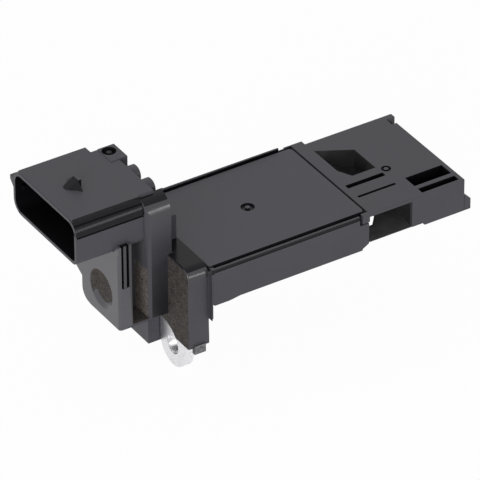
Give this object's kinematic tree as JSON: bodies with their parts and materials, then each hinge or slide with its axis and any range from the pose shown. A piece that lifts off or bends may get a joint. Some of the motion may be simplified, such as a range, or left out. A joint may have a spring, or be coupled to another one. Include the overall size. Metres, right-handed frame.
{
  "type": "mass airflow sensor",
  "caption": "Plug-in sensor that measures the air drawn into an engine: a flat case for the duct, a screw flange and a keyed socket for the harness plug.",
  "frame": {"origin": "centre of the flat case's section, in the plane where the flange seats on the duct", "axes": "+X along the case towards its tip, +Z out of the flat circuit cover, +Y out of the case's back"},
  "size_m": [0.0932, 0.0411, 0.0484],
  "materials": {
    "case_plastic": "satin moulded",
    "cover_plastic": "satin moulded",
    "ear_steel": "bright plated",
    "contact_metal": "tinned",
    "sealant": "cured",
    "base_aluminium": "rolled",
    "board_ceramic": "fired",
    "chip_plastic": "matt",
    "capacitor_ceramic": "fired",
    "wire_aluminium": "drawn",
    "carrier_plastic": "moulded",
    "sensor_silicon": "polished",
    "bead_glass": "glassy"
  },
  "bodies": {
    "root": {"housing": "case_plastic", "passage_cover": "case_plastic", "circuit_cover": "cover_plastic", "screw_ear_lower": "ear_steel", "screw_ear_upper": "ear_steel", "sensor_leads": "contact_metal", "terminal_1": "contact_metal", "terminal_2": "contact_metal", "terminal_3": "contact_metal", "terminal_4": "contact_metal", "terminal_5": "contact_metal", "thermistor_leads": "contact_metal", "cover_adhesive": "sealant", "sensor_potting": "sealant", "base_plate": "base_aluminium", "circuit_board": "board_ceramic", "chip_resistors": "chip_plastic", "driver_chip": "chip_plastic", "signal_chip": "chip_plastic", "chip_capacitors": "capacitor_ceramic", "bonding_wires": "wire_aluminium", "sensor_carrier": "carrier_plastic", "sensing_chip": "sensor_silicon", "thermistor_bead": "bead_glass"}
  },
  "joints": []
}
